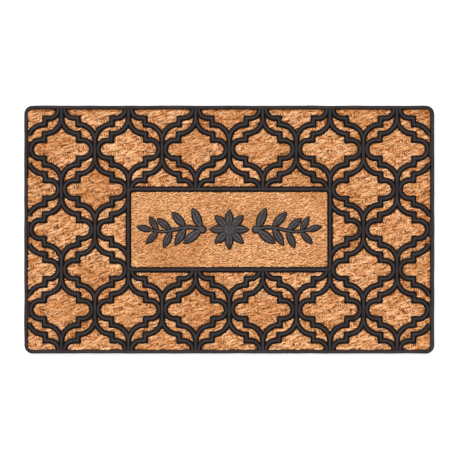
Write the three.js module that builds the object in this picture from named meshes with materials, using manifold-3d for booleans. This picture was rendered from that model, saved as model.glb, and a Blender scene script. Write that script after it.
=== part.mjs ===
// A moulded door mat: woven coir cloth held in a rubber tray, under an openwork grid of
// rubber ribs, with a framed centre panel that carries a leaf ornament.
//
// Millimetres, +Z up. The origin is the middle of the mat on the floor: X runs along the
// long sides and Y along the short ones. Every piece is a flat moulding or a cut cloth, so
// each one is an outline with a thickness.
import * as THREE from "three";
import { mergeVertices } from "three/addons/utils/BufferGeometryUtils.js";
import Module from "manifold-3d";

const wasm = await Module();
wasm.setup();

// ---- The whole mat ----
const MAT_LENGTH = 751.5;
const MAT_WIDTH = 454.5;
const MAT_CORNER_RADIUS = 15;

// ---- Heights, from the floor up ----
const STUD_HEIGHT = 1;
const BACKING_THICKNESS = 2;
const COIR_THICKNESS = 5.4;
const RIB_HEIGHT = 3;
const SEAT_GAP = 0.3; // between pieces that the moulding presses together

// ---- The tray's rim and its grip studs ----
const RIM_WIDTH = 6.75;
const STUD_RADIUS = 5;
const STUD_PITCH = 60;
const STUD_MARGIN = 20; // from a stud's centre to the edge of the mat

// ---- The grid of ribs: one cell, and how the cells are spaced ----
const CELL_PITCH_X = 123; // wanted: the pitch used is the nearest that fits between the rims
const CELL_PITCH_Y = 147;
const RIB_WIDTH = 10.5;
const STEM_WIDTH = 13; // the upright rib with its webs, from a cell's tip to the next row
const RIDGE_SPACING = 5.5; // from a stem's middle line to that of the lobe beside it
const LOBE_RADIUS = 16.6; // middle line of the rib round a cell's side lobe
const STEP_X = 31.3; // middle line of the upright step between lobe and shoulder
const SHOULDER_Y = 28.1; // middle line of the rib where the shoulder is level
const OGEE_RADIUS = 30; // middle line of the rib from shoulder to tip
const RIM_END_REACH = 8; // from the rim to where a rib that runs into it leaves its curve
const LOBE_PAD = 27; // width of the rubber that ties a lobe to the rim

// ---- The centre panel ----
const PANEL_LENGTH = 359; // clear opening inside its frame
const PANEL_WIDTH = 137;
const FRAME_WIDTH = 10.5;

// ---- The ornament on the panel: a rosette between two leafy sprigs ----
const ROSETTE_RADIUS = 37;
const ROSETTE_PETALS = 8;
const PETAL_WIDTH = 17;
const SPRIG_START = 49; // from the middle of the panel
const SPRIG_MARGIN = 32.5; // from the stem's end to the frame: the leaf that ends it is in here
const SPRIG_WAVE = 4; // how far the stem swings above and below the middle
const SPRIG_STEM_WIDTH = 9;
const SPRIG_TIP_SCALE = 0.7; // size of the last leaves and the stem's tip to the first
const LEAF_LENGTH = 43;
const LEAF_WIDTH = 18;
const LEAF_ANGLE = THREE.MathUtils.degToRad(53); // between a leaf and the stem
const LEAF_PLACES = [0.02, 0.31, 0.58, 0.83]; // of the pairs, along the stem
const END_LEAF_PLACE = 0.93;
const KNOB_RADIUS = 8; // at the start of a sprig's stem

const BACKING_TOP = STUD_HEIGHT + BACKING_THICKNESS;
const COIR_BOTTOM = BACKING_TOP + SEAT_GAP;
const COIR_TOP = COIR_BOTTOM + COIR_THICKNESS;
const RIB_BOTTOM = COIR_TOP + SEAT_GAP;
const MAT_TOP = RIB_BOTTOM + RIB_HEIGHT;
const RIB_HALF = RIB_WIDTH / 2;
const PITCH_X = fittedPitch(MAT_LENGTH, CELL_PITCH_X);
const PITCH_Y = fittedPitch(MAT_WIDTH, CELL_PITCH_Y);
const LOBE_X = PITCH_X / 2 - RIDGE_SPACING - LOBE_RADIUS;
const SPRIG_LENGTH = PANEL_LENGTH / 2 - SPRIG_MARGIN - SPRIG_START; // of the stem
const RIGHT_ANGLE = Math.PI / 2;

const RUBBER = { color: 0x372e2d, roughness: 0.75, metalness: 0 };
const COIR = { color: 0xcc8e5f, roughness: 0.95, metalness: 0 };

// The pitch nearest to the wanted one that puts a whole number of cells between the rims, so
// that the rims cut the cells at their middle lines.
function fittedPitch(matSize, wantedPitch) {
  const span = matSize - 2 * RIM_WIDTH;
  return span / Math.round(span / wantedPitch);
}

// ---- Outlines ----

function point(x, y) {
  return new THREE.Vector2(x, y);
}

function arc(centreX, centreY, radius, from, to, steps) {
  return Array.from({ length: steps + 1 }, (_, i) => {
    const angle = from + ((to - from) * i) / steps;
    return point(centreX + radius * Math.cos(angle), centreY + radius * Math.sin(angle));
  });
}

// A closed outline from its quarter with x and y above zero, listed from the X axis to the
// Y axis and mirrored in both.
function fourfold(quarter) {
  const half = [...quarter, ...quarter.map((p) => point(-p.x, p.y)).reverse()];
  const whole = [...half, ...half.map((p) => point(p.x, -p.y)).reverse()];
  return whole.filter((p, i) => p.distanceTo(whole.at(i - 1)) > 1e-6);
}

function rectangle(length, width) {
  return fourfold([point(length / 2, width / 2)]);
}

function roundedRectangle(length, width, radius) {
  const steps = 5;
  return fourfold(arc(length / 2 - radius, width / 2 - radius, radius, 0, RIGHT_ANGLE, steps));
}

// The rib's curve from a cell's shoulder to its tip, offset sideways, between two places in
// x. The middle line runs level at the shoulder and upright where it joins the stem.
function ogee(offset, fromX, toX) {
  const steps = 3;
  const radius = OGEE_RADIUS - offset;
  const turn = (x) => Math.PI + Math.acos((OGEE_RADIUS - x) / radius);
  return arc(OGEE_RADIUS, SHOULDER_Y + OGEE_RADIUS, radius, turn(fromX), turn(toX), steps);
}

function lobe(offset) {
  const steps = 3;
  return arc(LOBE_X, 0, LOBE_RADIUS + offset, 0, RIGHT_ANGLE, steps);
}

// The opening of one cell, where the coir shows.
function cellOpening() {
  const stepX = STEP_X - RIB_HALF;
  const corner = point(stepX, LOBE_RADIUS - RIB_HALF);
  return fourfold([...lobe(-RIB_HALF), corner, ...ogee(-RIB_HALF, stepX, 0)]);
}

// The outside of the ribs round one cell, with its stems up to the next rows.
function cellOutside() {
  const stepX = STEP_X + RIB_HALF;
  return fourfold([
    ...lobe(RIB_HALF),
    point(stepX, LOBE_RADIUS + RIB_HALF),
    point(stepX, SHOULDER_Y + RIB_HALF),
    ...ogee(RIB_HALF, OGEE_RADIUS, STEM_WIDTH / 2),
    point(STEM_WIDTH / 2, PITCH_Y / 2),
  ]);
}

// Where the middle line of a cell lies on the rim, the slits beside it are open to the rim
// in place of a stem: this is one such opening, from the cell up to the next row's lobe.
function slitEnd() {
  const ribEnd = ogee(RIB_HALF, OGEE_RADIUS, RIM_END_REACH).at(-1);
  const lobeX = PITCH_X / 2 - LOBE_X;
  const radius = LOBE_RADIUS + RIB_HALF;
  const atReach = Math.PI + Math.acos((lobeX - RIM_END_REACH) / radius);
  const atPad = Math.PI + Math.asin(LOBE_PAD / 2 / radius);
  const side = [ribEnd, ...arc(lobeX, PITCH_Y / 2, radius, atReach, atPad, 2)];
  return [...side, ...side.map((p) => point(-p.x, p.y)).reverse()];
}

// A leaf or petal, widest half way, with blunt ends.
function leafOutline(base, angle, length, width) {
  const steps = 9;
  const fullness = 0.7;
  const side = Array.from({ length: steps }, (_, i) =>
    point((length * i) / steps, (width / 2) * Math.sin((Math.PI * i) / steps) ** fullness),
  );
  const otherSide = side.map((p) => point(length - p.x, -p.y));
  return [...side, ...otherSide].map((p) => p.rotateAround(point(0, 0), angle).add(base));
}

function disc(centre, radius) {
  const sides = 12;
  return arc(centre.x, centre.y, radius, 0, 2 * Math.PI, sides).slice(1);
}

// A band along a line of points, as wide as given at its two ends.
function band(points, startWidth, endWidth) {
  const last = points.length - 1;
  const beside = (side) => (p, i) => {
    const along = points[Math.min(i + 1, last)].clone().sub(points[Math.max(i - 1, 0)]);
    const half = THREE.MathUtils.lerp(startWidth, endWidth, i / last) / 2;
    return point(-along.y, along.x).setLength(side * half).add(p);
  };
  return [...points.map(beside(1)), ...points.map(beside(-1)).reverse()];
}

// ---- Solids ----

function prism(outline, bottom, top, hole) {
  const shape = new THREE.Shape(outline);
  if (hole) shape.holes.push(new THREE.Path(hole));
  const depth = top - bottom;
  return new THREE.ExtrudeGeometry(shape, { depth, bevelEnabled: false }).translate(0, 0, bottom);
}

function solid(geometry) {
  const bare = geometry.clone();
  bare.deleteAttribute("normal");
  bare.deleteAttribute("uv");
  const merged = mergeVertices(bare, 1e-4);
  return new wasm.Manifold(
    new wasm.Mesh({
      numProp: 3,
      vertProperties: merged.attributes.position.array,
      triVerts: new Uint32Array(merged.index.array),
    }),
  );
}

function joined(geometries) {
  return geometries.map(solid).reduce((whole, next) => whole.add(next));
}

function geometryOf(manifold) {
  const mesh = manifold.getMesh();
  const geometry = new THREE.BufferGeometry();
  geometry.setAttribute("position", new THREE.BufferAttribute(mesh.vertProperties, 3));
  geometry.setIndex(new THREE.BufferAttribute(mesh.triVerts, 1));
  geometry.computeVertexNormals();
  return geometry;
}

function piece(name, geometry, material) {
  const mesh = new THREE.Mesh(geometry, new THREE.MeshStandardMaterial(material));
  mesh.name = name;
  return mesh;
}

// ---- The tray, with the coir cloths that lie in it ----

// What fits inside the rim, with the gap that a pressed-in piece keeps.
function insideRim() {
  const inset = 2 * (RIM_WIDTH + SEAT_GAP);
  const radius = Math.max(MAT_CORNER_RADIUS - RIM_WIDTH, 1);
  return roundedRectangle(MAT_LENGTH - inset, MAT_WIDTH - inset, radius);
}

// The places of a row of things at an even pitch, centred, that stay inside a half-length.
function evenPlaces(halfLength, pitch) {
  const count = Math.floor((2 * halfLength) / pitch) + 1;
  return Array.from({ length: count }, (_, i) => (i - (count - 1) / 2) * pitch);
}

function gripStuds() {
  const sides = 6;
  const sunk = STUD_HEIGHT + BACKING_THICKNESS / 2;
  return evenPlaces(MAT_LENGTH / 2 - STUD_MARGIN, STUD_PITCH).flatMap((x) =>
    evenPlaces(MAT_WIDTH / 2 - STUD_MARGIN, STUD_PITCH).map((y) =>
      new THREE.CylinderGeometry(STUD_RADIUS, STUD_RADIUS, sunk, sides)
        .rotateX(RIGHT_ANGLE)
        .translate(x, y, sunk / 2),
    ),
  );
}

function backingTray() {
  const outline = roundedRectangle(MAT_LENGTH, MAT_WIDTH, MAT_CORNER_RADIUS);
  const inset = 2 * RIM_WIDTH;
  const radius = Math.max(MAT_CORNER_RADIUS - RIM_WIDTH, 1);
  const recess = roundedRectangle(MAT_LENGTH - inset, MAT_WIDTH - inset, radius);
  const tray = solid(prism(outline, STUD_HEIGHT, MAT_TOP))
    .subtract(solid(prism(recess, BACKING_TOP, MAT_TOP + RIB_HEIGHT)));
  return geometryOf(tray.add(joined(gripStuds())));
}

// The two coir cloths meet under the middle of the panel's frame.
const WINDOW_LENGTH = PANEL_LENGTH + FRAME_WIDTH;
const WINDOW_WIDTH = PANEL_WIDTH + FRAME_WIDTH;

function coirField() {
  return prism(insideRim(), COIR_BOTTOM, COIR_TOP, rectangle(WINDOW_LENGTH, WINDOW_WIDTH));
}

function coirPanel() {
  const gap = 2 * SEAT_GAP;
  return prism(rectangle(WINDOW_LENGTH - gap, WINDOW_WIDTH - gap), COIR_BOTTOM, COIR_TOP);
}

// ---- The grid of ribs and the panel's frame ----

// Cells sit in staggered rows: the rows through the middle of the mat have a stem on its
// centre line, and the rows between them have a cell there.
function cellPlaces() {
  const columns = Math.ceil(MAT_LENGTH / PITCH_X) + 1;
  const rows = Math.ceil(MAT_WIDTH / PITCH_Y) + 1;
  const places = [];
  for (let column = -columns; column <= columns; column++) {
    for (let row = -rows; row <= rows; row++) {
      if ((column + row) % 2 === 0) continue;
      const x = (column * PITCH_X) / 2;
      const y = (row * PITCH_Y) / 2;
      const reachesIn =
        Math.abs(x) < (MAT_LENGTH + PITCH_X) / 2 && Math.abs(y) < (MAT_WIDTH + PITCH_Y) / 2;
      if (reachesIn) places.push([x, y]);
    }
  }
  return places;
}

function trellisGrid() {
  const over = RIB_HEIGHT; // how far a cutting prism passes the faces it cuts
  const cutter = (outline) => prism(outline, RIB_BOTTOM - over, MAT_TOP + over);
  const copies = (geometry, places) => places.map(([x, y]) => geometry.clone().translate(x, y, 0));
  const places = cellPlaces();
  const stemMeetsRim = ([x]) => Math.abs(x) > MAT_LENGTH / 2 - RIM_WIDTH - STEM_WIDTH / 2;
  const sidePlaces = places.filter(stemMeetsRim);
  const below = slitEnd().map((p) => point(p.x, -p.y));
  const openings = [
    ...copies(cutter(cellOpening()), places),
    ...copies(cutter(slitEnd()), sidePlaces),
    ...copies(cutter(below), sidePlaces),
  ];
  const clear = 2 * (FRAME_WIDTH + SEAT_GAP);
  const panel = rectangle(PANEL_LENGTH + clear, PANEL_WIDTH + clear);
  const grid = joined(copies(prism(cellOutside(), RIB_BOTTOM, MAT_TOP), places))
    .subtract(joined(openings))
    .intersect(solid(cutter(insideRim())))
    .subtract(solid(cutter(panel)));
  return geometryOf(grid);
}

function panelFrame() {
  const wide = 2 * FRAME_WIDTH;
  const outline = rectangle(PANEL_LENGTH + wide, PANEL_WIDTH + wide);
  return prism(outline, RIB_BOTTOM, MAT_TOP, rectangle(PANEL_LENGTH, PANEL_WIDTH));
}

// ---- The ornament ----

function ornament(outlines) {
  return geometryOf(joined(outlines.map((outline) => prism(outline, RIB_BOTTOM, MAT_TOP))));
}

function rosette() {
  const middle = point(0, 0);
  const petals = Array.from({ length: ROSETTE_PETALS }, (_, i) => {
    const angle = (2 * Math.PI * i) / ROSETTE_PETALS;
    return leafOutline(middle, angle, ROSETTE_RADIUS, PETAL_WIDTH);
  });
  return ornament(petals);
}

// A sprig's stem makes one full wave along its length.
function stemPoint(t) {
  return point(SPRIG_START + SPRIG_LENGTH * t, SPRIG_WAVE * Math.sin(2 * Math.PI * t));
}

function stemAngle(t) {
  return Math.atan2(2 * Math.PI * SPRIG_WAVE * Math.cos(2 * Math.PI * t), SPRIG_LENGTH);
}

// The leaves stand in pairs, and one more ends the stem. They shrink towards the tip.
function sprig(side) {
  const steps = 12;
  const line = Array.from({ length: steps + 1 }, (_, i) => stemPoint(i / steps));
  const leafAt = (t, turn) => {
    const size = THREE.MathUtils.lerp(1, SPRIG_TIP_SCALE, t);
    return leafOutline(stemPoint(t), stemAngle(t) + turn, LEAF_LENGTH * size, LEAF_WIDTH * size);
  };
  const outlines = [
    band(line, SPRIG_STEM_WIDTH, SPRIG_STEM_WIDTH * SPRIG_TIP_SCALE),
    disc(line[0], KNOB_RADIUS),
    leafAt(END_LEAF_PLACE, 0),
    ...LEAF_PLACES.flatMap((t) => [leafAt(t, LEAF_ANGLE), leafAt(t, -LEAF_ANGLE)]),
  ];
  return ornament(outlines.map((outline) => outline.map((p) => point(side * p.x, p.y))));
}

const mat = new THREE.Group();
mat.name = "door_mat";
mat.add(
  piece("backing_tray", backingTray(), RUBBER),
  piece("coir_field", coirField(), COIR),
  piece("coir_panel", coirPanel(), COIR),
  piece("trellis_grid", trellisGrid(), RUBBER),
  piece("panel_frame", panelFrame(), RUBBER),
  piece("sprig_left", sprig(-1), RUBBER),
  piece("rosette", rosette(), RUBBER),
  piece("sprig_right", sprig(1), RUBBER),
);

export default mat;
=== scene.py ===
"""Looks of a moulded door mat: coir cloth in a rubber tray, under an openwork rubber grid.

Pieces are modelled in millimetres and made metres as they are finished. Z is up, X runs
along the mat and Y across it, with the middle of the mat on the floor at the origin.
"""
import math
import random

import bmesh
import bpy
from mathutils import Matrix, Vector, noise
from mathutils.bvhtree import BVHTree


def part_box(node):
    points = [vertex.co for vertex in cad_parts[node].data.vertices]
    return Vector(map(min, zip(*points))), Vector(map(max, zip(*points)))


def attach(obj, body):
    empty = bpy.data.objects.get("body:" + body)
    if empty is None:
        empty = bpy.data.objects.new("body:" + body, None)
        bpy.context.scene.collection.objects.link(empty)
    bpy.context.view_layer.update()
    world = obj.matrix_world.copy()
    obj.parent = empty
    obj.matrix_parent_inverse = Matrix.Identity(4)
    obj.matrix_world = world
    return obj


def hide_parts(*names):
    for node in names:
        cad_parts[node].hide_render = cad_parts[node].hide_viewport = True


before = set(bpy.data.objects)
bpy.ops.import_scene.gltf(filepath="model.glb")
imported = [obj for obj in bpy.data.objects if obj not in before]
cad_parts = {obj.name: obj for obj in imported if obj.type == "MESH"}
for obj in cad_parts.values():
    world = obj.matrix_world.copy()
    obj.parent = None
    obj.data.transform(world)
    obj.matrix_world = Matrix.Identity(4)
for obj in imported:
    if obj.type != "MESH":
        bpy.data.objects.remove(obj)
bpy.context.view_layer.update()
noise.seed_set(3)  # the rubber's wander and the weave's drift are the same on every run

MM = 0.001
QUARTER_TURN = math.pi / 2


def box_mm(node):
    low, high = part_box(node)
    return low / MM, high / MM


# ---- Sizes, from the frame ----

tray_low, tray_high = box_mm("backing_tray")
field_low, field_high = box_mm("coir_field")
panel_low, panel_high = box_mm("coir_panel")
grid_low, grid_high = box_mm("trellis_grid")
frame_low, frame_high = box_mm("panel_frame")

MAT_TOP = tray_high.z
COIR_TOP = field_high.z
COIR_BOTTOM = field_low.z
BACKING_TOP = COIR_BOTTOM - 0.3
STUD_HEIGHT = 1.0

RIM_CORNER_RADIUS = 15.0
CELL_HALF_X = 61.5
CELL_HALF_Y = 73.5
RIM_WIDTH = tray_high.x - 6 * CELL_HALF_X
RIDGE_SPACING = 5.5
LOBE_RADIUS = 16.6
LOBE_X = CELL_HALF_X - RIDGE_SPACING - LOBE_RADIUS
STEP_X = 31.3
SHOULDER_Y = 28.1
OGEE_RADIUS = 30.0
FRAME_LINE_X = frame_high.x - 5.25
FRAME_LINE_Y = frame_high.y - 5.25

# A rib's section: how far each point is to the side of the ridge, and its height.
RIB_FOOT = COIR_TOP - 0.3
RIB_SECTION = [
    (-5.25, RIB_FOOT),
    (-5.25, MAT_TOP - 2.7),
    (-4.0, MAT_TOP - 1.8),
    (-1.6, MAT_TOP - 0.25),
    (0.0, MAT_TOP),
    (1.6, MAT_TOP - 0.25),
    (4.0, MAT_TOP - 1.8),
    (5.25, MAT_TOP - 2.7),
    (5.25, RIB_FOOT),
]


# ---- Finished pieces ----

def finished(name, bm, material):
    """Makes a bmesh in millimetres an object in metres with a smooth-shaded mesh."""
    bmesh.ops.scale(bm, vec=(MM, MM, MM), verts=bm.verts)
    bmesh.ops.recalc_face_normals(bm, faces=bm.faces)
    mesh = bpy.data.meshes.new(name)
    bm.to_mesh(mesh)
    bm.free()
    mesh.materials.append(material)
    piece = bpy.data.objects.new(name, mesh)
    bpy.context.scene.collection.objects.link(piece)
    return piece


def belongs(piece, slot, *nodes):
    """Every piece is part of the one body, and stands for the CAD nodes it replaces."""
    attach(piece, "root")
    if nodes:
        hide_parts(*nodes)


def smooth_under(piece, degrees):
    """Shades a piece smooth, apart from edges sharper than the angle."""
    piece.data.shade_smooth()
    piece.data.set_sharp_from_angle(angle=math.radians(degrees))


def combined(piece, other, operation):
    """Joins, cuts or trims a piece by another, which is used up."""
    change = piece.modifiers.new("change", "BOOLEAN")
    change.object = other
    change.operation = operation
    change.solver = "MANIFOLD"
    depsgraph = bpy.context.evaluated_depsgraph_get()
    mesh = bpy.data.meshes.new_from_object(piece.evaluated_get(depsgraph))
    piece.modifiers.clear()
    piece.data = mesh
    bpy.data.objects.remove(other)
    return piece


# ---- Materials ----

def linear(hex_colour):
    """An sRGB hex colour as linear RGBA."""
    parts = [int(hex_colour[i:i + 2], 16) / 255 for i in (0, 2, 4)]
    return [p / 12.92 if p <= 0.04045 else ((p + 0.055) / 1.055) ** 2.4 for p in parts] + [1.0]


def add(tree, kind, inputs, **settings):
    """Adds a node with its settings. An input is a value, or the socket that feeds it."""
    made = tree.nodes.new("ShaderNode" + kind)
    for name, value in settings.items():
        setattr(made, name, value)
    for name, value in inputs.items():
        if isinstance(value, bpy.types.NodeSocket):
            tree.links.new(value, made.inputs[name])
        else:
            made.inputs[name].default_value = value
    return made


MIX_COLOURS = {"data_type": "RGBA", "clamp_factor": True}
FIRST, SECOND, MIXED = 6, 7, 2  # a colour Mix node's sockets


def new_material(name):
    material = bpy.data.materials.new(name)
    material.use_nodes = True
    return material, material.node_tree, material.node_tree.nodes["Principled BSDF"]


def moulded_rubber(name, low, high, skin, dark, light, grain_mm):
    """Vulcanised rubber, matte, straight from the mould. Above the coir the flanks are painted near-black
    as shade, and the tops painted paler as a highlight, in patches that also stand for wear from feet and handling."""
    material, tree, shader = new_material(name)
    place = add(tree, "TexCoord", {}).outputs["Object"]
    height = add(tree, "SeparateXYZ", {"Vector": place}).outputs["Z"]
    # Painted highlight: the tops are mixed towards the paler colour, in noisy patches that also stand for wear.
    top = add(tree, "MapRange", {
        "Value": height, "From Min": low * MM, "From Max": high * MM,
    }, interpolation_type="SMOOTHSTEP").outputs["Result"]
    clouds = add(tree, "TexNoise", {"Vector": place, "Scale": 60.0, "Detail": 4.0})
    bloom = add(tree, "MapRange", {
        "Value": clouds.outputs["Fac"], "From Min": 0.3, "From Max": 0.7,
        "To Min": 0.55, "To Max": 1.0,
    }).outputs["Result"]
    worn_and_painted_highlight = add(tree, "Math", {0: top, 1: bloom}, operation="MULTIPLY").outputs[0]
    # Painted shade: above the coir the rubber's own colour gives way to the near-black dark colour on the flanks.
    painted_shade_above_coir = add(tree, "MapRange", {
        "Value": height, "From Min": (COIR_BOTTOM + 1) * MM, "From Max": COIR_TOP * MM,
    }).outputs["Result"]
    below = add(tree, "Mix", {0: painted_shade_above_coir, FIRST: linear(skin), SECOND: linear(dark)}, **MIX_COLOURS)
    colour = add(tree, "Mix", {0: worn_and_painted_highlight, FIRST: below.outputs[MIXED], SECOND: linear(light)}, **MIX_COLOURS)
    tree.links.new(colour.outputs[MIXED], shader.inputs["Base Color"])
    grain = add(tree, "TexNoise", {
        "Vector": place, "Scale": 1 / (grain_mm * MM), "Detail": 3.0, "Roughness": 0.6,
    })
    bump = add(tree, "Bump", {
        "Strength": 0.5, "Distance": 0.15 * MM, "Height": grain.outputs["Fac"],
    })
    tree.links.new(bump.outputs[0], shader.inputs["Normal"])
    shader.inputs["Roughness"].default_value = 0.62
    shader.inputs["Specular IOR Level"].default_value = 0.12
    return material


def brushed_rubber_with_painted_light():
    """Moulded rubber whose flat top has been buffed: fine streaks along X, paler than the bevel that
    runs round each edge. The bevel's near-black is painted shade, and the top's pale streaks are
    buffing and painted highlight together."""
    material, tree, shader = new_material("buffed_and_painted_light_rubber")
    place = add(tree, "TexCoord", {}).outputs["Object"]
    height = add(tree, "SeparateXYZ", {"Vector": place}).outputs["Z"]
    top = add(tree, "MapRange", {
        "Value": height, "From Min": (MAT_TOP - 1.2) * MM, "From Max": (MAT_TOP - 0.45) * MM,
    }).outputs["Result"]
    along = add(tree, "Mapping", {"Vector": place, "Rotation": (0, 0, 0.5), "Scale": (120, 700, 120)})
    streaks = add(tree, "TexNoise", {"Vector": along.outputs[0], "Scale": 1.0, "Detail": 4.0})
    share = add(tree, "MapRange", {
        "Value": streaks.outputs["Fac"], "From Min": 0.3, "From Max": 0.72,
        "To Min": 0.25, "To Max": 1.0,
    }).outputs["Result"]
    # Painted shade and highlight: 020101 on the bevel is painted shade, and 524a4b on the streaked top is buffing
    # and painted highlight together.
    worn_and_painted_highlight = add(tree, "Math", {0: top, 1: share}, operation="MULTIPLY").outputs[0]
    colour = add(tree, "Mix", {0: worn_and_painted_highlight, FIRST: linear("020101"), SECOND: linear("524a4b")}, **MIX_COLOURS)
    tree.links.new(colour.outputs[MIXED], shader.inputs["Base Color"])
    bump = add(tree, "Bump", {
        "Strength": 0.6, "Distance": 0.12 * MM, "Height": streaks.outputs["Fac"],
    })
    tree.links.new(bump.outputs[0], shader.inputs["Normal"])
    shader.inputs["Roughness"].default_value = 0.5
    shader.inputs["Specular IOR Level"].default_value = 0.2
    return material


def coir_base(name, dark, light, clump_mm):
    """The bed of short coir fibres under the strands: deep brown between the clumps, so
    that gaps read as shade."""
    material, tree, shader = new_material(name)
    place = add(tree, "TexCoord", {}).outputs["Object"]
    lying = add(tree, "Mapping", {"Vector": place, "Scale": (0.45, 1.0, 1.0)}).outputs[0]
    clumps = add(tree, "TexNoise", {
        "Vector": lying, "Scale": 1 / (clump_mm * MM), "Detail": 5.0, "Roughness": 0.65,
        "Distortion": 0.8,
    })
    share = add(tree, "MapRange", {
        "Value": clumps.outputs["Fac"], "From Min": 0.38, "From Max": 0.62,
    }).outputs["Result"]
    colour = add(tree, "Mix", {0: share, FIRST: linear(dark), SECOND: linear(light)}, **MIX_COLOURS)
    tree.links.new(colour.outputs[MIXED], shader.inputs["Base Color"])
    bump = add(tree, "Bump", {
        "Strength": 0.8, "Distance": 1.0 * MM, "Height": clumps.outputs["Fac"],
    })
    tree.links.new(bump.outputs[0], shader.inputs["Normal"])
    shader.inputs["Roughness"].default_value = 0.9
    shader.inputs["Specular IOR Level"].default_value = 0.15
    return material


def coir_strand(name, dark, middle, light):
    """Spun coconut fibre: each strand has a shade of its own, from husk brown to straw,
    with fine streaks along it."""
    material, tree, shader = new_material(name)
    geometry = add(tree, "NewGeometry", {})
    own = geometry.outputs["Random Per Island"]
    lower = add(tree, "MapRange", {"Value": own, "From Min": 0.0, "From Max": 0.3}).outputs["Result"]
    upper = add(tree, "MapRange", {"Value": own, "From Min": 0.3, "From Max": 1.0}).outputs["Result"]
    browns = add(tree, "Mix", {0: lower, FIRST: linear(dark), SECOND: linear(middle)}, **MIX_COLOURS)
    shade = add(tree, "Mix", {0: upper, FIRST: browns.outputs[MIXED], SECOND: linear(light)}, **MIX_COLOURS)
    place = add(tree, "TexCoord", {}).outputs["Object"]
    fleck = add(tree, "TexNoise", {"Vector": place, "Scale": 350.0, "Detail": 4.0})
    amount = add(tree, "MapRange", {
        "Value": fleck.outputs["Fac"], "From Min": 0.35, "From Max": 0.65,
        "To Min": 0.7, "To Max": 1.15,
    }).outputs["Result"]
    patches = add(tree, "TexNoise", {"Vector": place, "Scale": 1 / (90 * MM), "Detail": 2.0})
    weathered = add(tree, "MapRange", {
        "Value": patches.outputs["Fac"], "From Min": 0.36, "From Max": 0.56,
        "To Min": 0.84, "To Max": 1.02,
    }).outputs["Result"]
    reddened = add(tree, "MapRange", {
        "Value": patches.outputs["Fac"], "From Min": 0.36, "From Max": 0.56,
        "To Min": 0.494, "To Max": 0.5,
    }).outputs["Result"]
    deepened = add(tree, "MapRange", {
        "Value": patches.outputs["Fac"], "From Min": 0.36, "From Max": 0.56,
        "To Min": 1.1, "To Max": 1.0,
    }).outputs["Result"]
    strength = add(tree, "Math", {0: amount, 1: weathered}, operation="MULTIPLY").outputs[0]
    tone = add(tree, "HueSaturation", {
        "Color": shade.outputs[MIXED], "Hue": reddened, "Saturation": deepened, "Value": strength,
    })
    tree.links.new(tone.outputs[0], shader.inputs["Base Color"])
    bump = add(tree, "Bump", {
        "Strength": 0.7, "Distance": 0.3 * MM, "Height": fleck.outputs["Fac"],
    })
    tree.links.new(bump.outputs[0], shader.inputs["Normal"])
    shader.inputs["Roughness"].default_value = 0.75
    shader.inputs["Specular IOR Level"].default_value = 0.2
    return material


# In both rubbers 030202 is painted shade on the flanks above the coir, 362e2e the tops' painted highlight with
# wear, and 2b2625 the rubber's own colour.
rib_rubber = moulded_rubber("moulded_rib_rubber", MAT_TOP - 0.95, MAT_TOP - 0.1, "2b2625", "030202", "362e2e", 0.8)
rim_rubber = moulded_rubber("moulded_tray_rubber", MAT_TOP - 0.95, MAT_TOP - 0.1, "2b2625", "030202", "362e2e", 0.8)
ornament_rubber = brushed_rubber_with_painted_light()
field_bed = coir_base("coarse_coir_bed", "50240c", "c5824a", 4.0)
panel_bed = coir_base("fine_coir_bed", "6c3c1a", "d0935c", 2.5)
field_strands = coir_strand("coarse_coir_strands", "95481c", "e4a56b", "e7be93")
panel_strands = coir_strand("fine_coir_strands", "b5693a", "f0b278", "e8c092")


# ---- The grid: ribs swept along the line of one cell, and tiled ----

def closed_section(bm, at_x):
    """A rib's section standing on the X axis, ready to be swept along Y."""
    ring = [bm.verts.new((at_x + side, 0, height)) for side, height in RIB_SECTION]
    return [bm.edges.new((a, b)) for a, b in zip(ring, ring[1:] + ring[:1])]


def swept(bm, section, place):
    """Extrudes a section, and moves each new point to where place puts it."""
    made = bmesh.ops.extrude_edge_only(bm, edges=section)["geom"]
    points = {g for g in made if isinstance(g, bmesh.types.BMVert)}
    for point in points:
        point.co = place(point.co)
    edges = [g for g in made if isinstance(g, bmesh.types.BMEdge)]
    return [e for e in edges if e.verts[0] in points and e.verts[1] in points]


def turned(bm, section, centre, angle, steps):
    made = bmesh.ops.spin(
        bm, geom=section, cent=(centre[0], centre[1], 0), axis=(0, 0, 1), angle=angle, steps=steps,
    )["geom_last"]
    return [g for g in made if isinstance(g, bmesh.types.BMEdge)]


def ease_mitres(bm, edges, amount):
    """Rounds the sharp turns of a rib, as a mould's milled corners are."""
    bmesh.ops.bevel(
        bm, geom=edges, offset=amount, affect="EDGES", segments=2, profile=0.5, material=-1,
    )


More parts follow.
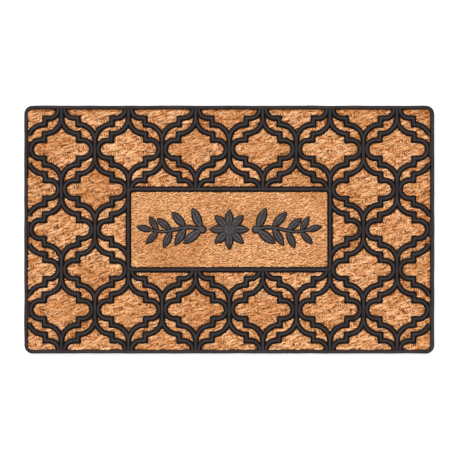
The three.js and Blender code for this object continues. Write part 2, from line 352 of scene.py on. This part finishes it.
def cell_rib():
    """The rib round a quarter of a cell: the side lobe, the step, the shoulder, the ogee
    that runs to the cell's tip, and the stem above it."""
    first_turn = QUARTER_TURN * 0.15

    def onto_ogee(p):
        turn = -QUARTER_TURN - first_turn
        reach = OGEE_RADIUS - (p.x - STEP_X)
        centre_y = SHOULDER_Y + OGEE_RADIUS
        return Vector((OGEE_RADIUS + reach * math.cos(turn), centre_y + reach * math.sin(turn), p.z))

    bm = bmesh.new()
    first = closed_section(bm, LOBE_X + LOBE_RADIUS)
    bmesh.ops.translate(bm, verts=bm.verts, vec=(0, -2, 0))
    section = swept(bm, first, lambda p: Vector((p.x, 0, p.z)))
    section = turned(bm, section, (LOBE_X, 0), QUARTER_TURN, 8)
    step = swept(bm, section, lambda p: Vector((STEP_X + p.y - LOBE_RADIUS, p.y, p.z)))
    shoulder = swept(bm, step, lambda p: Vector((p.x, SHOULDER_Y + p.x - STEP_X, p.z)))
    section = swept(bm, shoulder, onto_ogee)
    centre = (OGEE_RADIUS, SHOULDER_Y + OGEE_RADIUS)
    section = turned(bm, section, centre, first_turn - QUARTER_TURN, 8)
    last = swept(bm, section, lambda p: Vector((p.x, CELL_HALF_Y + 2, p.z)))
    ease_mitres(bm, step + shoulder, 1.5)
    bmesh.ops.holes_fill(bm, edges=first + last)
    bmesh.ops.remove_doubles(bm, verts=bm.verts, dist=0.001)
    bmesh.ops.recalc_face_normals(bm, faces=bm.faces)
    return bm


def plain_object(name, bm):
    mesh = bpy.data.meshes.new(name)
    bm.to_mesh(mesh)
    bm.free()
    made = bpy.data.objects.new(name, mesh)
    bpy.context.scene.collection.objects.link(made)
    return made


def block(name, low, high):
    """A plain box to cut with."""
    bm = bmesh.new()
    middle = (Vector(low) + Vector(high)) / 2
    size = Vector(high) - Vector(low)
    bmesh.ops.create_cube(bm, size=1, matrix=Matrix.Translation(middle) @ Matrix.Diagonal((*size, 1)))
    return plain_object(name, bm)


def grid_tile(beside_rim):
    """A quarter of the pattern: this cell's rib and that of the cell across the corner,
    trimmed to the tile. Beside the rim, the stem has a gap that the coir shows in."""
    own = plain_object("own_rib", cell_rib())
    facing = cell_rib()
    half_turn = Matrix.Rotation(math.pi, 4, "Z")
    across = Matrix.Translation((CELL_HALF_X, CELL_HALF_Y, 0)) @ half_turn
    bmesh.ops.transform(facing, matrix=across, verts=facing.verts)
    other = plain_object("facing_rib", facing)
    if beside_rim:
        gap = block("gap", (CELL_HALF_X - 8, 13.5, 0), (CELL_HALF_X + 8, 25.0, 20))
        other = combined(other, gap, "DIFFERENCE")
    tile = combined(own, other, "UNION")
    bm = bmesh.new()
    bm.from_mesh(tile.data)
    bpy.data.objects.remove(tile)
    for at, outwards in [
        ((0, 0, 0), (-1, 0, 0)), ((0, 0, 0), (0, -1, 0)),
        ((CELL_HALF_X, 0, 0), (1, 0, 0)), ((0, CELL_HALF_Y, 0), (0, 1, 0)),
    ]:
        everything = list(bm.verts) + list(bm.edges) + list(bm.faces)
        bmesh.ops.bisect_plane(bm, geom=everything, dist=1e-4, plane_co=at, plane_no=outwards, clear_outer=True)
    mesh = bpy.data.meshes.new("tile")
    bm.to_mesh(mesh)
    bm.free()
    return mesh


def trellis():
    """Three rows of six blocks, each block one cell with its neighbours' corners."""
    inner, outer = grid_tile(False), grid_tile(True)
    bm = bmesh.new()
    for column in range(-3, 3):
        for row in (-1, 0, 1):
            middle = Vector(((2 * column + 1) * CELL_HALF_X, 2 * row * CELL_HALF_Y, 0))
            for side in (-1, 1):
                at_rim = (column, side) in ((-3, -1), (2, 1))
                for end in (-1, 1):
                    copy = (outer if at_rim else inner).copy()
                    copy.transform(Matrix.Translation(middle) @ Matrix.Diagonal((side, end, 1, 1)))
                    bm.from_mesh(copy)
                    bpy.data.meshes.remove(copy)
    bmesh.ops.remove_doubles(bm, verts=bm.verts, dist=0.004)
    open_edges = [e for e in bm.edges if e.is_boundary]
    bmesh.ops.holes_fill(bm, edges=open_edges)
    bmesh.ops.recalc_face_normals(bm, faces=bm.faces)
    under_frame = 2.5
    hole = block(
        "panel_hole",
        (frame_low.x + under_frame, frame_low.y + under_frame, 0),
        (frame_high.x - under_frame, frame_high.y - under_frame, 20),
    )
    whole = combined(plain_object("whole_grid", bm), hole, "DIFFERENCE")
    bm = bmesh.new()
    bm.from_mesh(whole.data)
    bpy.data.objects.remove(whole)
    return bm


def uneven(bm, amount, over_mm):
    """Moves a moulding's points sideways a little, as hand-laid rubber is never quite true."""
    for v in bm.verts:
        v.co += Vector((*noise.noise_vector(v.co / over_mm).xy * amount, 0))


def mitred_frame():
    """One rib round the panel, mitred at its corners."""
    bm = bmesh.new()
    section = closed_section(bm, FRAME_LINE_X)
    for v in bm.verts:
        v.co.y = FRAME_LINE_X - FRAME_LINE_Y - v.co.x

    def at_corner(turn_x, turn_y):
        def place(p):
            side = max(abs(p.x) - FRAME_LINE_X, abs(p.y) - FRAME_LINE_Y, key=abs)
            return Vector((turn_x * (FRAME_LINE_X + side), turn_y * (FRAME_LINE_Y + side), p.z))
        return place

    for turn_x, turn_y in ((1, 1), (-1, 1), (-1, -1), (1, -1)):
        section = swept(bm, section, at_corner(turn_x, turn_y))
    bmesh.ops.remove_doubles(bm, verts=bm.verts, dist=0.001)
    ease_mitres(bm, [e for e in bm.edges if e.calc_length() < 2 * RIB_FOOT], 3.0)
    return bm


def chopped_along(bm, length_mm):
    """Cuts a long moulding across at even steps, so that it can be made a little uneven."""
    for axis in (0, 1):
        reach = max(v.co[axis] for v in bm.verts)
        steps = int(reach / length_mm)
        normal = [0, 0, 0]
        normal[axis] = 1
        for i in range(-steps, steps + 1):
            at = [0, 0, 0]
            at[axis] = i * length_mm
            everything = list(bm.verts) + list(bm.edges) + list(bm.faces)
            bmesh.ops.bisect_plane(bm, geom=everything, dist=1e-4, plane_co=at, plane_no=normal)


# ---- The tray ----

def tray():
    """The backing sheet with the raised rim round it, lifted by the grip studs' height."""
    bm = bmesh.new()
    size = Vector((tray_high.x * 2, tray_high.y * 2, MAT_TOP - STUD_HEIGHT))
    middle = (0, 0, STUD_HEIGHT + size.z / 2)
    bmesh.ops.create_cube(bm, size=1, matrix=Matrix.Translation(middle) @ Matrix.Diagonal((*size, 1)))
    upright = [e for e in bm.edges if abs(e.verts[0].co.z - e.verts[1].co.z) > 1]
    bmesh.ops.bevel(
        bm, geom=upright, offset=RIM_CORNER_RADIUS, affect="EDGES", segments=8, profile=0.5, material=-1,
    )
    top = max(bm.faces, key=lambda f: f.calc_center_median().z)
    bmesh.ops.inset_individual(bm, faces=[top], thickness=RIM_WIDTH)
    bmesh.ops.inset_individual(bm, faces=[top], thickness=1.2)
    bmesh.ops.translate(bm, verts=top.verts, vec=(0, 0, BACKING_TOP - MAT_TOP))
    def on_crest(edge):
        level = all(v.co.z > MAT_TOP - 0.01 for v in edge.verts)
        return level and any(f.calc_center_median().z < MAT_TOP - 1 for f in edge.link_faces)
    crest = [e for e in bm.edges if on_crest(e)]
    bmesh.ops.bevel(
        bm, geom=crest, offset=2.0, affect="EDGES", segments=3, profile=0.5, material=-1, clamp_overlap=True,
    )
    return bm


studs_x = [x * 60 - 330 for x in range(12)]
studs_y = [y * 60 - 180 for y in range(7)]


def grip_studs():
    """Low round studs that keep the mat from sliding."""
    bm = bmesh.new()
    for x in studs_x:
        for y in studs_y:
            made = bmesh.ops.create_cone(
                bm, cap_ends=True, segments=12, radius1=4.2, radius2=5.0, depth=2.0,
                matrix=Matrix.Translation((x, y, 1.0)),
            )
    return bm


# ---- Build the rubber ----

over_coir = bmesh.new()  # all the rubber that lies on the coir, to lay the strands round


def laid_on_coir(bm):
    """Notes a piece of rubber, still in millimetres, that covers some of the coir."""
    mesh = bpy.data.meshes.new("covering")
    bm.to_mesh(mesh)
    over_coir.from_mesh(mesh)
    bpy.data.meshes.remove(mesh)


grid_bm = trellis()
uneven(grid_bm, 0.35, 30.0)
laid_on_coir(grid_bm)
grid = finished("trellis_ribs", grid_bm, rib_rubber)
smooth_under(grid, 38)
belongs(grid, "grid_rubber", "trellis_grid")

frame_bm = mitred_frame()
laid_on_coir(frame_bm)
panel_rib = finished("panel_rib", frame_bm, rib_rubber)
smooth_under(panel_rib, 38)
belongs(panel_rib, "grid_rubber", "panel_frame")

tray_bm = tray()
chopped_along(tray_bm, 9.0)
uneven(tray_bm, 0.5, 35.0)
rubber_tray = finished("rubber_tray", tray_bm, rim_rubber)
smooth_under(rubber_tray, 38)
belongs(rubber_tray, "tray_rubber", "backing_tray")

studs = finished("grip_studs", grip_studs(), rim_rubber)
smooth_under(studs, 38)
belongs(studs, "tray_rubber")


# How a raised shape rises from its foot: how far in from the outline, and the height.
MOUND_RISE = [
    (0.0, RIB_FOOT),
    (0.0, MAT_TOP - 2.4),
    (2.1, MAT_TOP - 1.7),
    (3.1, MAT_TOP - 0.4),
    (4.2, MAT_TOP - 0.1),
]


def mound(outline):
    """A raised shape: an outline that steps in as it rises. outline gives the point at a
    turn round it and a distance in from its edge."""
    bm = bmesh.new()
    bmesh.ops.create_circle(bm, cap_ends=True, segments=28, radius=1)
    top = bm.faces[:][0]
    for level in range(1, len(MOUND_RISE)):
        made = bmesh.ops.extrude_face_region(bm, geom=[top], use_keep_orig=level == 1)["geom"]
        bmesh.ops.translate(bm, verts=[g for g in made if isinstance(g, bmesh.types.BMVert)], vec=(0, 0, 1))
        if level > 1:
            bmesh.ops.delete(bm, geom=[top], context="FACES_ONLY")
        top = next(g for g in made if isinstance(g, bmesh.types.BMFace))
    for v in bm.verts:
        inset, height = MOUND_RISE[round(v.co.z)]
        v.co = (*outline(math.atan2(v.co.y, v.co.x), inset), height)
    bmesh.ops.recalc_face_normals(bm, faces=bm.faces)
    if bm.calc_volume(signed=True) < 0:  # a leaf's thin tip can turn it inside out
        bmesh.ops.reverse_faces(bm, faces=bm.faces)
    return plain_object("mound", bm)


def leaf(base, angle, length, width):
    """A leaf or petal with a vein scored along it."""
    fullness = 0.7
    along = Vector((math.cos(angle), math.sin(angle)))
    side = Vector((-along.y, along.x))

    def outline(turn, inset):
        t = (1 + math.cos(turn)) / 2
        half = max(width / 2 - inset, 0.4) * math.sin(math.pi * t) ** fullness
        reach = inset + (length - 2 * inset) * t
        return base + along * reach + side * math.copysign(half, turn)

    blade = mound(outline)
    vein = bmesh.new()
    middle = Vector((*(base + along * length * 0.55), MAT_TOP + 0.1))
    turned_45 = Matrix.Rotation(angle, 4, "Z") @ Matrix.Rotation(math.pi / 4, 4, "X")
    bmesh.ops.create_cube(
        vein, size=1, matrix=Matrix.Translation(middle) @ turned_45 @ Matrix.Diagonal((length * 0.62, 1.8, 1.8, 1)),
    )
    return combined(blade, plain_object("vein", vein), "DIFFERENCE")


def dome(centre, radius):
    return mound(lambda turn, inset: centre + Vector((math.cos(turn), math.sin(turn))) * (radius - inset))


SPRIG_START = 49.0
SPRIG_LENGTH = 98.0
SPRIG_WAVE = 4.0
SPRIG_STEM_WIDTH = 9.0
SPRIG_TIP_SCALE = 0.7
LEAF_LENGTH = 43.0
LEAF_WIDTH = 18.0
LEAF_ANGLE = math.radians(53)
LEAF_PLACES = [0.02, 0.31, 0.58, 0.83]
END_LEAF_PLACE = 0.93
KNOB_RADIUS = 8.0
ROSETTE_RADIUS = 37.0
ROSETTE_PETALS = 8
PETAL_WIDTH = 17.0


def stem_point(t):
    return Vector((SPRIG_START + SPRIG_LENGTH * t, SPRIG_WAVE * math.sin(2 * math.pi * t)))


def stem_angle(t):
    return math.atan2(2 * math.pi * SPRIG_WAVE * math.cos(2 * math.pi * t), SPRIG_LENGTH)


def shrunk(t):
    return 1 + (SPRIG_TIP_SCALE - 1) * t


def sprig_stem():
    """The stem, one wave long, narrower towards its tip."""
    steps = 12

    def place_at(t, before):
        narrow = SPRIG_STEM_WIDTH / 10.5
        def place(p):
            old = Vector((-math.sin(stem_angle(before)), math.cos(stem_angle(before))))
            side = (p.xy - stem_point(before)).dot(old) / (shrunk(before) * narrow)
            new = Vector((-math.sin(stem_angle(t)), math.cos(stem_angle(t))))
            return Vector((*(stem_point(t) + new * side * shrunk(t) * narrow), p.z))
        return place

    bm = bmesh.new()
    first = closed_section(bm, 0)
    narrow = SPRIG_STEM_WIDTH / 10.5
    across = Vector((-math.sin(stem_angle(0)), math.cos(stem_angle(0))))
    for v in bm.verts:
        v.co = (*(stem_point(0) + across * v.co.x * narrow), v.co.z - 0.25)
    section = first
    for i in range(1, steps + 1):
        section = swept(bm, section, place_at(i / steps, (i - 1) / steps))
    bmesh.ops.holes_fill(bm, edges=first + section)
    bmesh.ops.recalc_face_normals(bm, faces=bm.faces)
    return plain_object("stem", bm)


def united(shapes):
    """Welds an ornament's shapes into one."""
    whole = shapes[0]
    for shape in shapes[1:]:
        whole = combined(whole, shape, "UNION")
    return whole


def relief(name, whole, mirrored, node):
    """Makes a welded ornament, in millimetres, a finished piece."""
    bm = bmesh.new()
    bm.from_mesh(whole.data)
    bpy.data.objects.remove(whole)
    if mirrored:
        bmesh.ops.scale(bm, vec=(-1, 1, 1), verts=bm.verts)
    laid_on_coir(bm)
    piece = finished(name, bm, ornament_rubber)
    smooth_under(piece, 35)
    belongs(piece, "ornament_rubber", node)
    return piece


def sprig_shapes():
    leaves = [leaf(stem_point(END_LEAF_PLACE), stem_angle(END_LEAF_PLACE),
                   LEAF_LENGTH * shrunk(END_LEAF_PLACE), LEAF_WIDTH * shrunk(END_LEAF_PLACE))]
    for t in LEAF_PLACES:
        for turn in (LEAF_ANGLE, -LEAF_ANGLE):
            size = shrunk(t)
            leaves.append(leaf(stem_point(t), stem_angle(t) + turn, LEAF_LENGTH * size, LEAF_WIDTH * size))
    return [sprig_stem(), dome(stem_point(0), KNOB_RADIUS), *leaves]


def rosette_shapes():
    middle = Vector((0, 0))
    petals = [
        leaf(middle, 2 * math.pi * i / ROSETTE_PETALS, ROSETTE_RADIUS, PETAL_WIDTH)
        for i in range(ROSETTE_PETALS)
    ]
    return [dome(middle, 9.0), *petals]


def creased(piece):
    """Scores a groove between each petal and the next."""
    for i in range(ROSETTE_PETALS):
        crease = bmesh.new()
        turn = Matrix.Rotation(2 * math.pi * (i + 0.5) / ROSETTE_PETALS, 4, "Z")
        middle = Matrix.Translation((16.0, 0, MAT_TOP)) @ Matrix.Rotation(math.pi / 4, 4, "X")
        bmesh.ops.create_cube(
            crease, size=1, matrix=turn @ middle @ Matrix.Diagonal((14.0, 2.0, 2.0, 1)),
        )
        piece = combined(piece, plain_object("crease", crease), "DIFFERENCE")
    return piece


relief("sprig_right_relief", united(sprig_shapes()), False, "sprig_right")
relief("sprig_left_relief", united(sprig_shapes()), True, "sprig_left")
relief("rosette_relief", creased(united(rosette_shapes())), False, "rosette")


# ---- Coir ----

rubber_tree = BVHTree.FromBMesh(over_coir)


def hidden(x, y):
    """Whether rubber covers this place on the coir."""
    return rubber_tree.ray_cast(Vector((x, y, 30)), Vector((0, 0, -1)))[0] is not None


def from_rib(x, y):
    """How far this place is from the nearest rib, up to a limit."""
    limit = 14
    near = rubber_tree.find_nearest(Vector((x, y, COIR_TOP)), limit)[3]
    return limit if near is None else near


def swell(x, y):
    """How far the coir bulges up between the ribs that press it down."""
    if hidden(x, y):
        return 0.0
    room = min(from_rib(x, y) / 14, 1)
    return 1.6 * room * room * (3 - 2 * room)


def in_rounded_corner(place, half_x, half_y):
    """Pulls a point that is past the round of a cloth's corner in to it."""
    radius = RIM_CORNER_RADIUS - RIM_WIDTH
    centre = Vector((math.copysign(half_x - radius, place.x), math.copysign(half_y - radius, place.y)))
    out = place - centre
    in_corner = abs(place.x) > abs(centre.x) and abs(place.y) > abs(centre.y)
    return centre + out.normalized() * radius if in_corner and out.length > radius else place


def cloth_bed(low, high, spacing, relief, window=None):
    """A coir cloth's own body: a lumpy top over a flat underside."""
    bm = bmesh.new()
    half_x, half_y = high.x - 0.1, high.y - 0.1
    bmesh.ops.create_grid(
        bm, x_segments=round(2 * half_x / spacing), y_segments=round(2 * half_y / spacing), size=1,
        matrix=Matrix.Translation((0, 0, COIR_TOP)) @ Matrix.Diagonal((half_x, half_y, 1, 1)),
    )
    if window:
        for axis in (0, 1):
            normal = [0, 0, 0]
            normal[axis] = 1
            for side in (-1, 1):
                everything = list(bm.verts) + list(bm.edges) + list(bm.faces)
                at = [0, 0, 0]
                at[axis] = side * window[axis]
                bmesh.ops.bisect_plane(bm, geom=everything, dist=0.05, plane_co=at, plane_no=normal)
        inside = []
        for f in bm.faces:
            centre = f.calc_center_median()
            if abs(centre.x) < window[0] and abs(centre.y) < window[1]:
                inside.append(f)
        bmesh.ops.delete(bm, geom=inside, context="FACES")
    for v in bm.verts:
        v.co.xy = in_rounded_corner(v.co.xy, half_x, half_y)
        lump = noise.fractal(Vector((v.co.x / 9, v.co.y / 5, 0)), 1.0, 2.0, 3)
        v.co.z += relief * lump - 1.0 + (swell(v.co.x, v.co.y) if window else 0.8)
    border = [e for e in bm.edges if e.is_boundary]
    made = bmesh.ops.extrude_edge_only(bm, edges=border)["geom"]
    low_points = {g for g in made if isinstance(g, bmesh.types.BMVert)}
    for v in low_points:
        v.co.z = COIR_BOTTOM
    low_edges = [g for g in made if isinstance(g, bmesh.types.BMEdge)
                 and g.verts[0] in low_points and g.verts[1] in low_points]
    if window:
        bmesh.ops.bridge_loops(bm, edges=low_edges)
    else:
        bmesh.ops.edgeloop_fill(bm, edges=low_edges)
    return bm


field_window = (frame_high.x - 5.25, frame_high.y - 5.25)
field = finished("coir_cloth", cloth_bed(field_low, field_high, 2.4, 0.7, field_window), field_bed)
field.data.shade_smooth()
belongs(field, "woven_coir", "coir_field")

panel = finished("panel_cloth", cloth_bed(panel_low, panel_high, 1.6, 0.35), panel_bed)
panel.data.shade_smooth()
belongs(panel, "fine_coir", "coir_panel")


def strands(name, places, make, material):
    """Lays a bundle of short fibres at each place as tubes, then makes them one mesh."""
    curve = bpy.data.curves.new(name, "CURVE")
    curve.dimensions = "3D"
    curve.bevel_depth = 1.0
    curve.bevel_resolution = 0
    curve.use_fill_caps = True
    for place in places:
        for points in make(place):
            spline = curve.splines.new("POLY")
            spline.points.add(len(points) - 1)
            for target, (co, radius) in zip(spline.points, points):
                target.co = (*co, 1)
                target.radius = radius
    lines = bpy.data.objects.new(name + "_lines", curve)
    bpy.context.scene.collection.objects.link(lines)
    depsgraph = bpy.context.evaluated_depsgraph_get()
    mesh = bpy.data.meshes.new_from_object(lines.evaluated_get(depsgraph))
    bpy.data.objects.remove(lines)
    bm = bmesh.new()
    bm.from_mesh(mesh)
    bmesh.ops.remove_doubles(bm, verts=bm.verts, dist=1e-4)  # welds each fibre's end caps to it
    piece = finished(name, bm, material)
    piece.data.shade_smooth()
    return piece


rng = random.Random(7)


def fibre(x, y, base, length, radius, angle, bow, rise, sink):
    """A short fibre that dives into the cloth at both ends, and under rubber it meets, and
    stops at the rim."""
    steps = 3
    along = Vector((math.cos(angle), math.sin(angle), 0))
    side = Vector((-along.y, along.x, 0))
    points = []
    for i in range(steps + 1):
        t = i / steps
        arch = 4 * t * (1 - t)
        height = base - sink + (rise + sink) * arch
        co = Vector((x, y, height)) + along * (t - 0.5) * length + side * (bow * arch)
        co.x = min(max(co.x, field_low.x), field_high.x)
        co.y = min(max(co.y, field_low.y), field_high.y)
        if hidden(co.x, co.y):
            co.z = base - 2 * sink
        points.append((co, radius * (0.35 + 0.65 * arch ** 0.5)))
    return points


def bundle(x, y, base, length, radius, angle, rise, sink, count):
    """Fibres that lie side by side as one tuft, each a little astray."""
    bow = rng.uniform(-0.12, 0.12) * length
    fibres = []
    for i in range(count):
        aside = (i - (count - 1) / 2) * radius * 1.5 + rng.uniform(-0.3, 0.3)
        fibres.append(fibre(
            x - math.sin(angle) * aside, y + math.cos(angle) * aside,
            base + rng.uniform(-0.3, 0.3), length * rng.uniform(0.75, 1.2), radius,
            angle + rng.uniform(-0.12, 0.12), bow, rise, sink,
        ))
    return fibres


# The basket weave: blocks of yarn that runs along the mat, then across it, in turn. The
# twist of the yarn turns its fibres a little from the way it runs.
WEAVE_X, WEAVE_Y = 22.0, 12.0
YARN_WIDTH = 4.2
FINE_WEAVE_X = 12.8
FINE_YARN_WIDTH = 3.0
TWIST = 0.3
ASTRAY = 0.07  # the share of tufts that have worked loose


def woven(x, y):
    """Where a tuft lies in the weave, which way it points, how far up it is carried, and
    whether its yarn runs along the mat."""
    drift = noise.noise_vector(Vector((x / 40, y / 40, 1))) * 0.25
    across, up = x / WEAVE_X + drift.x, y / WEAVE_Y + drift.y
    runs_along = (math.floor(across) + math.floor(up)) % 2 == 0
    if runs_along:
        y = round(y / YARN_WIDTH) * YARN_WIDTH + rng.gauss(0, 0.4)
        carried = 0.4 + 0.8 * math.sin(math.pi * (across % 1))
    else:
        x = round(x / YARN_WIDTH) * YARN_WIDTH + rng.gauss(0, 0.3)
        carried = 0.5 * math.sin(math.pi * (up % 1)) - 0.4
    angle = (0 if runs_along else QUARTER_TURN) + TWIST
    angle += rng.gauss(0, 0.8 if rng.random() < ASTRAY else 0.1)
    return x, y, angle, carried, runs_along


def even_places(low, high, spacing):
    """Places spread evenly over a cloth where no rubber covers it, each a little off its row."""
    places = []
    for row in range(int((high.y - low.y) / spacing)):
        for column in range(int((high.x - low.x) / spacing)):
            x = low.x + (column + rng.random()) * spacing
            y = low.y + (row + rng.random()) * spacing
            if not hidden(x, y):
                places.append((x, y))
    return places


def outside_panel(place):
    return abs(place[0]) > FRAME_LINE_X or abs(place[1]) > FRAME_LINE_Y


def coarse(place):
    x, y, angle, carried, runs_along = woven(*place)
    base = COIR_TOP + 0.6 * swell(x, y) + carried - 0.8
    if runs_along:
        return bundle(x, y, base, rng.uniform(13, 19), rng.uniform(0.5, 0.9), angle, 0.5, 1.4, 3)
    return bundle(x, y, base, rng.uniform(8, 12), rng.uniform(0.6, 0.9), angle, 0.4, 1.4, 2)


tuft_places = [p for p in even_places(field_low, field_high, 4.5) if outside_panel(p)]
for number, letter in enumerate("abc"):
    tufts = strands("coir_tufts_" + letter, tuft_places[number::3], coarse, field_strands)
    belongs(tufts, "woven_coir")


def fine(place):
    """The panel's finer yarn runs along the mat, and dips under every few millimetres."""
    x, y = place
    row = round(y / FINE_YARN_WIDTH)
    dip = abs(math.sin(math.pi * (x / FINE_WEAVE_X + row / 2)))
    return bundle(
        x, y, COIR_TOP - 0.1 + 0.7 * dip, rng.uniform(5, 9), rng.uniform(0.45, 0.75),
        TWIST + rng.gauss(0, 0.22), rng.uniform(0.0, 0.7), 1.2, 2,
    )


panel_corner = Vector((FRAME_LINE_X, FRAME_LINE_Y, 0))
panel_tufts = strands("panel_tufts", even_places(-panel_corner, panel_corner, 3.6), fine, panel_strands)
belongs(panel_tufts, "fine_coir")


# ---- Camera, floor and light ----

scene = bpy.context.scene
scene.view_settings.view_transform = "Standard"

VIEW_WIDTH = 0.8421  # metres of floor that the picture is wide, at the top of the mat
LENS, SENSOR = 100.0, 36.0
camera_data = bpy.data.cameras.new("camera")
camera_data.lens = LENS
camera_data.sensor_width = SENSOR
camera = bpy.data.objects.new("camera", camera_data)
camera.location = (1.4 * MM, -0.9 * MM, MAT_TOP * MM + VIEW_WIDTH * LENS / SENSOR)
scene.collection.objects.link(camera)
scene.camera = camera


def floor():
    bm = bmesh.new()
    bmesh.ops.create_grid(bm, x_segments=8, y_segments=8, size=20000)
    material, tree, shader = new_material("white_card")
    shader.inputs["Base Color"].default_value = (0.9, 0.9, 0.9, 1)
    shader.inputs["Roughness"].default_value = 0.9
    shader.inputs["Emission Color"].default_value = (1, 1, 1, 1)
    shader.inputs["Emission Strength"].default_value = 0.35
    made = finished("floor", bm, material)


floor()

world = bpy.data.worlds.new("studio")
scene.world = world
world.use_nodes = True
world.node_tree.nodes["Background"].inputs["Color"].default_value = (1, 1, 1, 1)
world.node_tree.nodes["Background"].inputs["Strength"].default_value = 0.95

key_data = bpy.data.lights.new("key", "SUN")
key_data.energy = 2.4
key_data.angle = math.radians(25)
key = bpy.data.objects.new("key", key_data)
key.rotation_euler = Vector((-0.55, 0.75, 1.0)).to_track_quat("Z", "Y").to_euler()
scene.collection.objects.link(key)
